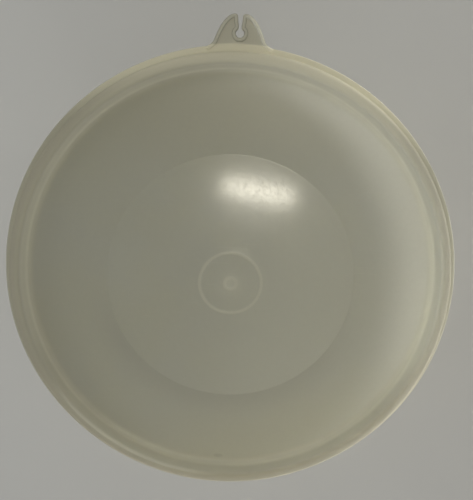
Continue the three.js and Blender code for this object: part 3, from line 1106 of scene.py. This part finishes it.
@dataclass
class SealLid:
    """The press-on seal: dome, panel, rim and hanging tab in one moulding.

    Heights are from the top of the flat panel.
    """

    node: str = "seal_lid"
    segments: int = 240
    wall: float = 1.4
    dome_radius: float = 64.0
    dome_rise: float = 8.0
    ring_radius: float = 15.6
    ring_width: float = 2.0
    ring_height: float = 0.07
    gate_radius: float = 3.0
    gate_width: float = 1.8
    gate_height: float = 0.07
    ridge_steps: int = 8
    ridge_fullness: float = 0.7
    ring_margin: float = 1.6
    panel_radius: float = 104.5
    bead_inner: float = 107.0
    bead_outer: float = 111.5
    bead_height: float = 8.0
    bead_round: float = 1.4
    bead_draft: float = 0.29
    bead_foot_round: float = 3.2
    crease: float = 0.06
    crease_margins: Point = (0.2, 0.5)
    panel_margin: float = 2.0
    panel_steps: int = 8
    dome_steps: tuple[int, int] = (5, 16)
    under_steps: int = 18
    under_margin: float = 0.6
    skirt_foot: float = 112.4
    flange_top: float = 0.9
    flange_bottom: float = -0.1
    flange_round: float = 0.5
    groove_wall: float = 0.9
    groove_round: float = 0.6
    groove_mouth: float = 0.7
    draft: float = 0.1
    tab_half_base: float = 12.6
    tab_flare: float = 3.4
    tab_half_top: float = 3.4
    tab_root_depth: float = 1.8
    tab_plate_bottom: float = -0.5
    tab_plate_top: float = 0.55
    tab_bead: float = 0.95
    tab_bead_sides: int = 12
    tab_bead_lift: float = 0.2
    tab_waist: float = 0.6
    keyhole_radius: float = 2.0
    keyhole_from_edge: float = 5.2
    slot_mouth: float = 2.4
    slot_throat: float = 1.4
    sharp_degrees: float = 38.0

    def __post_init__(self) -> None:
        """Reads the flange's radius, the tab's tip and the panel's height from the frame."""
        low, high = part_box(self.node)
        self.flange_radius: float = high.x / MM
        self.tab_tip: float = high.y / MM
        self.panel_z: float = low.z / MM + self.wall

    def dome(self, radius: float) -> float:
        """Height of the dome's outer face at a radius, on a sphere through its edge and crown."""
        sphere = (self.dome_radius**2 + self.dome_rise**2) / (2 * self.dome_rise)
        return math.sqrt(sphere**2 - radius**2) - sphere + self.dome_rise

    def ridge(self, radius: float, width: float, height: float) -> list[Point]:
        """Points of a low rounded ring that stands on the dome.

        Args:
            radius: middle of the ring.
            width: its width.
            height: how far it stands up.

        Returns:
            Points across the ring, from the inside out.
        """
        points = []
        for step in range(self.ridge_steps + 1):
            share = step / self.ridge_steps
            at = radius + (share - 0.5) * width
            points.append((at, self.dome(at) + height * math.sin(math.pi * share) ** self.ridge_fullness))
        return points

    def top_face(self) -> Profile:
        """Draws the outer face of the dome and the flat panel.

        Returns:
            A profile from the axis to the edge of the panel.
        """
        edge, ring, margin = self.dome_radius, self.ring_radius, self.ring_margin
        (near, far), (few, many) = self.crease_margins, self.dome_steps
        outline = Profile(0.0, self.dome(0.0))
        outline.line(*self.ridge(self.gate_radius, self.gate_width, self.gate_height))
        outline.follow(self.dome, spaced(self.gate_radius + self.gate_width / 2, ring - margin, few))
        outline.line(*self.ridge(ring, self.ring_width, self.ring_height))
        outline.follow(self.dome, spaced(ring + margin, edge - far, many))
        outline.follow(self.dome, [edge - near, edge - self.crease])
        outline.curve((edge, 0.0), (edge + self.crease, 0.0), 2)
        outline.line((edge + near, 0.0), (edge + far, 0.0))
        foot = self.panel_radius - self.bead_foot_round
        outline.line(*((radius, 0.0) for radius in spaced(edge + self.panel_margin, foot, self.panel_steps)))
        return outline

    def rim(self, outline: Profile) -> Profile:
        """Adds the bead, skirt, flange and groove to the outer face.

        Args:
            outline: the profile so far, which ends at the edge of the panel.

        Returns:
            The same profile, which then ends at the edge of the panel's underside.
        """
        inner, outer, crest, corner = self.bead_inner, self.bead_outer, self.bead_height, self.bead_round
        edge, top, bottom, lip = self.flange_radius, self.flange_top, self.flange_bottom, self.flange_round
        mouth, small = self.groove_mouth, self.groove_round
        foot, roof = self.bead_foot_round, crest - self.wall
        skirt, groove = outer - self.wall + 0.2, inner + self.groove_wall
        outline.curve((self.panel_radius, 0.0), (self.panel_radius + self.bead_draft * foot, foot), 8)
        outline.line((inner - 0.6, crest - corner))
        outline.curve((inner - 0.2, crest), (inner + 1.2, crest))
        outline.line((outer - corner, crest))
        outline.curve((outer, crest), (outer + self.draft, crest - corner))
        outline.line((self.skirt_foot - self.draft, top + 1))
        outline.curve((self.skirt_foot, top), (self.skirt_foot + 1, top))
        outline.line((edge - lip, top))
        outline.curve((edge, top), (edge, (top + bottom) / 2), 4)
        outline.curve((edge, bottom), (edge - lip, bottom), 4)
        outline.line((skirt + 1.3, bottom), (skirt + mouth, bottom + mouth), (skirt, roof - small))
        outline.curve((skirt - self.draft, roof), (skirt - 0.7, roof), 4)
        outline.line((groove + 0.8, roof))
        outline.curve((groove + 0.2, roof), (groove, roof - small), 4)
        outline.line((groove - 1.6, bottom + mouth))
        outline.curve((self.panel_radius + 1.2, -self.wall), (self.panel_radius - 0.9, -self.wall))
        return outline

    def cover(self, turning: TurnedWall, material: Material) -> Thing:
        """Turns the round part of the lid.

        Args:
            turning: the recipe for turned walls.
            material: what the lid is made of.

        Returns:
            The lid without its tab.
        """
        outline = self.rim(self.top_face())
        edge, margin = self.dome_radius, self.under_margin
        outline.line((edge + self.panel_margin, -self.wall), (edge + margin, -self.wall))
        radii = [edge - margin, *spaced(edge - margin, 0.0, self.under_steps)]
        outline.follow(lambda radius: self.dome(radius) - self.wall, radii)
        raised = [(radius, height + self.panel_z) for radius, height in outline.points]
        return turning.make("seal_lid_moulding", raised, self.segments, material)

    def ear_half(self) -> list[Point]:
        """Draws the right half of the tab's edge.

        Returns:
            Points from the tab's foot on the flange, round the tip and down to the bottom of the keyhole.
        """
        base, edge, tip = self.tab_half_base, self.flange_radius, self.tab_tip
        root = base + self.tab_flare
        foot = (root, math.sqrt(edge**2 - root**2) - 0.1)
        side = (base - 0.4, edge + 2)
        waist = edge + self.tab_waist * (tip - edge)
        lobe = (self.tab_half_top - 0.6, tip)
        points = Profile(*foot).curve((base + 0.6, edge - 0.3), side, 10).points[:-1]
        points += bezier(side, (base - 2.8, waist), (self.tab_half_top + 3.4, tip - 0.5), lobe, 20)
        return points + self.keyhole_half(lobe)

    def keyhole_half(self, lobe: Point) -> list[Point]:
        """Draws the right half of the keyhole's edge.

        Args:
            lobe: the point on the tip that the edge turns in from.

        Returns:
            Points from beside the lobe down the slot and round to the bottom of the hole.
        """
        tip, centre, hole = self.tab_tip, self.flange_radius + self.keyhole_from_edge, self.keyhole_radius
        mouth, throat = self.slot_mouth / 2, self.slot_throat / 2
        shoulder = math.sqrt(hole**2 - throat**2)
        neck = centre + shoulder
        edge = Profile(*lobe).curve((mouth + 0.1, tip), (mouth, tip - 1.1), 6)
        edge.line((throat + 0.25, neck + 3), (throat, neck + 2), (throat, neck + 1), (throat + 0.02, neck + 0.3))
        for angle in spaced(math.atan2(shoulder, throat) + 0.12, -math.pi / 2, 14):
            edge.line((hole * math.cos(angle), centre + hole * math.sin(angle)))
        return edge.points[1:]

    def tab(self, beads: BeadOnPath, material: Material) -> Thing:
        """Builds the hanging tab as a plate with a round bead along its whole edge.

        Args:
            beads: the recipe that lays the bead.
            material: what the tab is made of.

        Returns:
            The tab, whose root reaches under the flange.
        """
        right = self.ear_half()
        edge_line = right + [(-x, y) for x, y in reversed(right[:-1])]
        root = self.flange_radius - self.tab_root_depth
        outline = [(right[0][0], root), *edge_line, (-right[0][0], root)]
        bottom, top = self.panel_z + self.tab_plate_bottom, self.panel_z + self.tab_plate_top
        plate = slab_object("tab_plate", outline, bottom, top)
        plate.data.materials.append(material)
        inner = unfolded(edge_line, inset(edge_line, self.tab_bead))
        line = path_object("tab_bead", [(x, y, top + self.tab_bead_lift) for x, y in inner])
        bead = beads.run(line, Radius=self.tab_bead * MM, Sides=self.tab_bead_sides, Material=material)
        return combine(plate, bead, Joining.JOIN, tangled=True)

    def build(self, turning: TurnedWall, beads: BeadOnPath, material: Material) -> Thing:
        """Builds the whole lid in place of its node.

        Args:
            turning: the recipe for turned walls.
            beads: the recipe for beads.
            material: what the lid is made of.

        Returns:
            The finished piece.
        """
        lid = combine(self.cover(turning, material), self.tab(beads, material), Joining.JOIN)
        finish_shading(lid, self.sharp_degrees)
        return install(lid, self.node)


@dataclass
class Bowl:
    """The bowl: a curved wall from a foot ring up to a thick lip. Heights are from the surface it stands on."""

    node: str = "bowl"
    segments: int = 240
    wall: float = 1.8
    floor_top: float = 2.6
    foot_radius: float = 57.0
    foot_width: float = 7.0
    foot_recess: float = 0.8
    gate_pad: float = 18.0
    wall_foot: Point = (60.5, 1.2)
    wall_foot_pull: Point = (84.0, 6.0)
    wall_rim_pull: Point = (103.0, 46.0)
    wall_rim: Point = (108.8, 131.0)
    wall_steps: int = 40
    floor_round: Point = (2.2, 4.0)
    lip_crest: float = 109.05
    lip_half_crest: float = 0.75
    lip_depth: float = 6.2
    lip_round: float = 0.8
    small_round: float = 0.3
    sharp_degrees: float = 50.0

    def __post_init__(self) -> None:
        """Reads the bowl's height and the lip's radius from the frame."""
        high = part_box(self.node)[1]
        self.height: float = high.z / MM
        self.lip_radius: float = high.x / MM

    def underside(self) -> Profile:
        """Draws the gate pad, the recess round it and the foot ring.

        Returns:
            A profile from the axis to the foot of the outer wall.
        """
        pad, recess, small = self.gate_pad, self.foot_recess, self.small_round
        inner = self.foot_radius - self.foot_width
        outline = Profile(0.0, 0.0).line((pad - 0.4, 0.0))
        outline.curve((pad, 0.0), (pad + small, small), 3)
        outline.curve((pad + 0.8, recess), (pad + 1.6, recess), 4)
        outline.line((inner - 1.6, recess))
        outline.curve((inner - 0.8, recess), (inner - small, small), 4)
        outline.curve((inner, 0.0), (inner + 0.5, 0.0), 3)
        outline.line((self.foot_radius, 0.0))
        outline.curve((self.foot_radius + 2, 0.0), self.wall_foot, 6)
        return outline

    def lip(self, outline: Profile) -> Profile:
        """Adds the lip to the outer wall.

        Args:
            outline: the profile so far, which ends at the top of the outer wall.

        Returns:
            The same profile, which then ends at the top of the inner wall.
        """
        top, seat, outer = self.height, self.height - self.lip_depth, self.lip_radius
        crest, half, shoulder = self.lip_crest, self.lip_half_crest, self.height - self.lip_round
        outline.curve((outer - 0.4, seat - 1.4), (outer, seat), 6)
        outline.line((outer - 0.05, seat + 1.2), (crest + half, shoulder))
        outline.curve((crest + half, top), (crest, top), 5)
        outline.curve((crest - half, top), (crest - half, shoulder), 5)
        outline.line((self.wall_rim[0] - self.wall + 0.2, seat + 0.4))
        return outline

    def build(self, turning: TurnedWall, material: Material) -> Thing:
        """Builds the bowl in place of its node.

        Args:
            turning: the recipe for turned walls.
            material: what the bowl is made of.

        Returns:
            The finished piece.
        """
        outer = bezier(self.wall_foot, self.wall_foot_pull, self.wall_rim_pull, self.wall_rim, self.wall_steps)
        inner = inset(outer, self.wall)[::-1]
        outline = self.lip(self.underside().line(*outer[1:])).line(*inner)
        pull, end = ((self.wall_foot[0] - inwards, self.floor_top) for inwards in self.floor_round)
        outline.curve(pull, end, 4).line((0.0, self.floor_top))
        bowl = turning.make("bowl_moulding", outline.points, self.segments, material)
        finish_shading(bowl, self.sharp_degrees)
        return install(bowl, self.node)


@dataclass
class CoreHolder:
    """The core holder: a slotted tray on pegs with a four-finned spike. Heights are from the tray's underside."""

    node: str = "core_holder"
    segments: int = 180
    plate: float = 1.8
    rim_width: float = 1.8
    rim_height: float = 2.0
    peg_count: int = 6
    peg_height: float = 6.5
    peg_top: float = 3.0
    peg_foot: float = 2.2
    peg_circle: float = 46.0
    slot_count: int = 12
    slot_inner: float = 19.0
    slot_outer: float = 40.0
    slot_width: float = 3.0
    fin_count: int = 4
    fin_half_base: float = 9.0
    fin_half_tip: float = 1.1
    fin_thickness: float = 2.0
    core_radius: float = 1.6
    core_round: float = 2.2
    boss_radius: float = 12.0
    boss_height: float = 1.4
    edge_round: float = 0.8
    tray_round: float = 2.0
    peg_sides: int = 24
    peg_round: float = 0.7
    slot_end_steps: int = 10
    slot_overrun: float = 1.0
    fin_start: float = 0.3
    fin_pull: Point = (0.42, 0.3)
    fin_steps: int = 24
    sharp_degrees: float = 40.0

    def __post_init__(self) -> None:
        """Reads the tray's radius, its height and the spike's tip from the frame."""
        low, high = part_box(self.node)
        self.radius: float = high.x / MM
        self.underside: float = low.z / MM + self.peg_height
        self.spike: float = high.z / MM - self.underside - self.plate

    def tray(self, turning: TurnedWall, material: Material) -> Thing:
        """Turns the tray with its rim, the boss under the spike and the spike's round core.

        Args:
            turning: the recipe for turned walls.
            material: what the holder is made of.

        Returns:
            The tray without its slots, pegs and fins.
        """
        plate, outer, boss, core = self.plate, self.radius, self.boss_radius, self.core_radius
        inner, rim_top, boss_top = outer - self.rim_width, plate + self.rim_height, plate + self.boss_height
        rim_side, tip = rim_top - self.edge_round, plate + self.spike
        outline = Profile(0.0, 0.0).line((outer - self.tray_round, 0.0))
        outline.curve((outer, 0.0), (outer, self.tray_round))
        outline.line((outer, rim_side))
        outline.curve((outer, rim_top), (outer - self.rim_width / 2, rim_top), 4)
        outline.curve((inner, rim_top), (inner, rim_side), 4)
        outline.curve((inner, plate), (inner - 1.4, plate))
        outline.line((boss + 1.2, plate))
        outline.curve((boss + 0.1, plate), (boss, boss_top - 0.5), 4)
        outline.curve((boss, boss_top), (boss - 0.6, boss_top), 3)
        outline.line((core, boss_top), (core, tip - self.core_round))
        outline.curve((core, tip), (0.0, tip), 6)
        raised = [(radius, height + self.underside) for radius, height in outline.points]
        return turning.make("core_holder_moulding", raised, self.segments, material)

    def slot(self) -> Thing:
        """Makes a solid to cut one long slot with, with round ends.

        Returns:
            The solid, along +X.
        """
        half = self.slot_width / 2
        outline = []
        for centre, start in ((self.slot_outer - half, -90), (self.slot_inner + half, 90)):
            for step in range(self.slot_end_steps + 1):
                angle = math.radians(start + 180 / self.slot_end_steps * step)
                outline.append((centre + half * math.cos(angle), half * math.sin(angle)))
        bottom, top = self.underside - self.slot_overrun, self.underside + self.plate + self.slot_overrun
        return slab_object("drain_slot", outline, bottom, top)

    def peg(self, turning: TurnedWall, material: Material) -> Thing:
        """Turns one tapered peg with a round foot and moves it out along +X.

        Args:
            turning: the recipe for turned walls.
            material: what the holder is made of.

        Returns:
            The peg in its place.
        """
        foot, small = self.peg_foot, self.peg_round
        low, top = self.underside - self.peg_height, self.underside + self.plate / 2
        outline = Profile(0.0, low).line((foot - small, low))
        outline.curve((foot, low), (foot + 0.05, low + small), 4)
        outline.line((self.peg_top, self.underside - 0.5), (self.peg_top + 0.1, top), (0.0, top))
        peg = turning.make("peg", outline.points, self.peg_sides, material)
        peg.data.transform(Matrix.Translation((self.peg_circle * MM, 0, 0)))
        return peg

    def fin(self) -> Thing:
        """Makes one fin of the spike, an upright blade that is drawn in to the tip.

        Returns:
            The fin, from inside the core out along +X.
        """
        base, start, half = self.fin_half_base, self.fin_start, self.fin_thickness / 2
        low, high = -self.plate / 2, self.spike - self.core_round
        pull = (base * self.fin_pull[0], self.spike * self.fin_pull[1])
        edge = Profile(base, 0.0).curve(pull, (self.fin_half_tip, high), self.fin_steps)
        blade = slab_object("fin", [(start, low), (base, low), *edge.points, (start, high)], -half, half)
        upright = Matrix.Rotation(math.radians(90), 4, "X")
        raised = Matrix.Translation((0, 0, (self.underside + self.plate) * MM))
        blade.data.transform(raised @ upright)
        return blade

    def build(self, turning: TurnedWall, spiking: SpikedTray, material: Material) -> Thing:
        """Builds the core holder in place of its node.

        Args:
            turning: the recipe for turned walls.
            spiking: the recipe that adds the slots, pegs and fins.
            material: what the holder is made of.

        Returns:
            The finished piece.
        """
        tray = self.tray(turning, material)
        slot, peg, fin = self.slot(), self.peg(turning, material), self.fin()
        counts = {"Slot_Count": self.slot_count, "Peg_Count": self.peg_count, "Fin_Count": self.fin_count}
        holder = spiking.run(tray, Slot=slot, Peg=peg, Fin=fin, Material=material, **counts)
        for tool in (slot, peg, fin):
            bpy.data.objects.remove(tool)
        finish_shading(holder, self.sharp_degrees)
        return install(holder, self.node)


def install(piece: Thing, node: str) -> Thing:
    """Puts a piece in place of the node of the same body.

    Args:
        piece: the finished piece.
        node: the node it replaces, which has the name of its body.

    Returns:
        The same piece.
    """
    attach(piece, node)
    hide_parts(node)
    return piece


@dataclass(frozen=True)
class Lamp:
    """A soft rectangular lamp, with lengths in millimetres, its power in watts and angles in degrees.

    Its place is measured from the point that it is aimed at.
    """

    role: LampRole
    aim: Aim
    place: Place
    size: Point
    power: float
    tint: Colour
    roll: float = 0.0
    beam: float = 180.0

    def hang(self, aims: dict[Aim, Vector]) -> None:
        """Hangs the lamp in the scene.

        Args:
            aims: where each aim lies, in millimetres.
        """
        data = bpy.data.lights.new(self.role.value, "AREA")
        data.shape = "RECTANGLE"
        data.size, data.size_y = self.size[0] * MM, self.size[1] * MM
        data.spread = math.radians(self.beam)
        data.energy = self.power
        data.color = self.tint
        lamp = bpy.data.objects.new(self.role.value, data)
        bpy.context.scene.collection.objects.link(lamp)
        lamp.visible_camera = False
        away = Vector(self.place)
        lamp.location = (aims[self.aim] + away) * MM
        lamp.rotation_mode = "QUATERNION"
        level = (-away).to_track_quat("-Z", "Y")
        lamp.rotation_quaternion = level @ Quaternion((0.0, 0.0, 1.0), math.radians(self.roll))


LAMPS = (
    Lamp(LampRole.KEY, Aim.CROWN, (394.8, 767.2, 2662.8), (1140.0, 215.0), 24.0, (1.0, 0.95, 0.8), roll=19.0),
    Lamp(LampRole.SIDE, Aim.WALL, (6500.0, 420.0, -15.0), (800.0, 150.0), 1.65, (0.97, 0.99, 1.0), beam=8.0),
    Lamp(LampRole.FRONT, Aim.WALL, (2470.0, -6010.0, -15.0), (800.0, 160.0), 1.3, (1.0, 0.96, 0.84), beam=8.0),
    Lamp(LampRole.FILL, Aim.CROWN, (400.0, -2000.0, 398.2), (2000.0, 600.0), 8.0, (1.0, 0.97, 0.88)),
    Lamp(LampRole.LEFT, Aim.CROWN, (-850.0, 60.0, 302.0), (700.0, 340.0), 1.45, (0.88, 0.96, 1.0)),
)


@dataclass
class Studio:
    """The pale floor, the lamps and the camera."""

    floor_reach: float = 3000.0
    floor_depth: float = 20.0
    floor_colour: Colour = (0.52, 0.52, 0.515)
    floor_mottle: Pattern = Pattern(9.0, 2.0)
    floor_paler: float = 1.04
    floor_rough: float = 0.8
    floor_shine: float = 0.08
    world_light: float = 0.285
    backdrop: Colour = (0.97, 0.98, 1.0)
    wall_height: float = 100.0
    camera_turn: float = 2.3
    camera_place: Place = (3.2, 74.1, 287.4)
    camera_dip: float = 78.5
    camera_near: float = 10.0
    focal_length: float = 41.2
    sensor_width: float = 36.0

    def floor(self) -> Thing:
        """Lays a large pale floor under the keeper, with a faint mottle.

        Returns:
            The floor.
        """
        reach = self.floor_reach
        outline = [(-reach, -reach), (reach, -reach), (reach, reach), (-reach, reach)]
        floor = slab_object("studio_floor", outline, -self.floor_depth, 0.0)
        material = bpy.data.materials.new("pale_floor")
        material.use_nodes = True
        graph = Graph(material.node_tree)
        surface = material.node_tree.nodes["Principled BSDF"]
        mottle = graph.noise(graph.add("ShaderNodeTexCoord").outputs["Object"], self.floor_mottle)
        paler = tuple(channel * self.floor_paler for channel in self.floor_colour)
        graph.feed(surface.inputs["Base Color"], graph.mix(mottle, self.floor_colour, paler))
        graph.feed(surface.inputs["Roughness"], self.floor_rough)
        graph.feed(surface.inputs["Specular IOR Level"], self.floor_shine)
        floor.data.materials.append(material)
        return floor

    def world(self) -> None:
        """Gives an even light all round, which is also the pale backdrop past the floor."""
        world = bpy.data.worlds.new("studio")
        bpy.context.scene.world = world
        world.use_nodes = True
        light = world.node_tree.nodes["Background"]
        light.inputs["Color"].default_value = (*self.backdrop, 1.0)
        light.inputs["Strength"].default_value = self.world_light

    def lamps(self, lid: SealLid) -> None:
        """Hangs the lamps round the keeper.

        Args:
            lid: the lid, whose crown most of them are aimed at.
        """
        crown = Vector((0.0, 0.0, lid.panel_z + lid.dome_rise))
        aims = {Aim.CROWN: crown, Aim.WALL: Vector((0.0, 0.0, self.wall_height))}
        for lamp in LAMPS:
            lamp.hang(aims)

    def camera(self, lid: SealLid) -> None:
        """Stands the camera where the photograph was taken from, above the lid with the tab at the top.

        Args:
            lid: the lid, whose panel the camera's height is measured from.
        """
        data = bpy.data.cameras.new("photo_camera")
        data.sensor_width = self.sensor_width
        data.lens = self.focal_length
        data.clip_start = self.camera_near * MM
        camera = bpy.data.objects.new("photo_camera", data)
        bpy.context.scene.collection.objects.link(camera)
        turn = Matrix.Rotation(math.radians(self.camera_turn), 4, "Z")
        tilt = Matrix.Rotation(math.radians(self.camera_dip - 90.0), 4, "X")
        spot = Vector(self.camera_place) + Vector((0.0, 0.0, lid.panel_z))
        camera.matrix_world = turn @ Matrix.Translation(spot * MM) @ tilt
        bpy.context.scene.camera = camera

    def build(self, lid: SealLid) -> None:
        """Builds the whole studio round the keeper.

        Args:
            lid: the lid that the lamps and the camera look at.
        """
        self.floor()
        self.world()
        self.lamps(lid)
        self.camera(lid)
        bpy.context.scene.view_settings.view_transform = "Standard"


BOWL_PLASTIC = BowlPlastic(
    name="frosted_bowl_plastic",
    plastic=(0.54, 0.533, 0.46),
    yellowed=(0.48, 0.46, 0.355),
    glow=(0.93, 0.92, 0.86),
    clearness=0.61,
    sheen=0.4,
    gloss=0.5,
    cloud=0.8,
    scuffs=1.0,
    hand_wear_and_painted_light=(0.46, 0.435, 0.32),
    rubbed=(0.74, 0.73, 0.665),
)
HOLDER_PLASTIC = FrostedPlastic(
    name="milky_holder_plastic",
    plastic=(0.68, 0.67, 0.60),
    yellowed=(0.64, 0.62, 0.52),
    glow=(0.90, 0.89, 0.82),
    clearness=0.4,
    sheen=0.42,
    gloss=0.3,
    cloud=0.5,
    scuffs=0.7,
)


def seal_plastic(lid: SealLid) -> SealPlastic:
    """Makes the finish of the lid.

    Args:
        lid: the lid, whose panel the tab's heights are measured from.

    Returns:
        The finish.
    """
    # The lid's material, whose colours hold painted light and shade.
    return SealPlastic(
        name="aged_seal_plastic",
        plastic=(0.345, 0.352, 0.313),
        yellowed=(0.35, 0.348, 0.266),
        glow=(0.92, 0.91, 0.85),
        clearness=0.5,
        sheen=0.36,
        gloss=1.0,
        cloud=0.6,
        scuffs=0.3,
        # Painted shade at the top of the panel.
        painted_shade_top=(0.31, 0.305, 0.228),
        # Painted light on the dome's lower right.
        crown=(0.408, 0.414, 0.36),
        shaded=(0.285, 0.289, 0.253),
        # Painted light: the crescent on the right of the panel.
        painted_light_crescent=(0.68, 0.683, 0.635),
        # Painted light on the rim's inner side within the crescent.
        painted_pale_light=(0.94, 0.925, 0.815),
        rim=(0.41, 0.398, 0.312),
        # Painted shade on the bead's shoulder.
        shoulder=(0.375, 0.352, 0.275),
        # Painted light at the bead's foot; also the darker copy of the wall colour.
        foot=(0.48, 0.47, 0.395),
        # Painted light on the lower right of the panel.
        painted_light_lower_right=(0.405, 0.398, 0.308),
        # The rim is darker and browner towards the lower right.
        rim_lower_tone=(0.39, 0.362, 0.262),
        # Painted light on the crest of the upper rim.
        hand_wear_and_painted_light=(0.78, 0.745, 0.585),
        # Painted light: the lit copy of the bead's inner wall colour.
        wall=(0.80, 0.79, 0.67),
        # Painted shade on the sides of the tab's bead.
        painted_tab_bead_shade=(0.22, 0.21, 0.16),
        edge=(0.48, 0.465, 0.38),
        rubbed=(0.52, 0.51, 0.43),
        mark=(0.18, 0.17, 0.12),
        panel_z=lid.panel_z,
    )


def main() -> None:
    """Builds the keeper's pieces in order, dresses them and sets up the studio."""
    ageing = AgedSurface()
    turning, beads, spiking = TurnedWall(), BeadOnPath(), SpikedTray()
    lid = SealLid()
    pieces = [
        Bowl().build(turning, BOWL_PLASTIC.material(ageing)),
        CoreHolder().build(turning, spiking, HOLDER_PLASTIC.material(ageing)),
        lid.build(turning, beads, seal_plastic(lid).material(ageing)),
    ]
    for piece in pieces:
        log.info("%s: %d faces", piece.name, len(piece.data.polygons))
    Studio().build(lid)


if __name__ == "__main__":
    main()
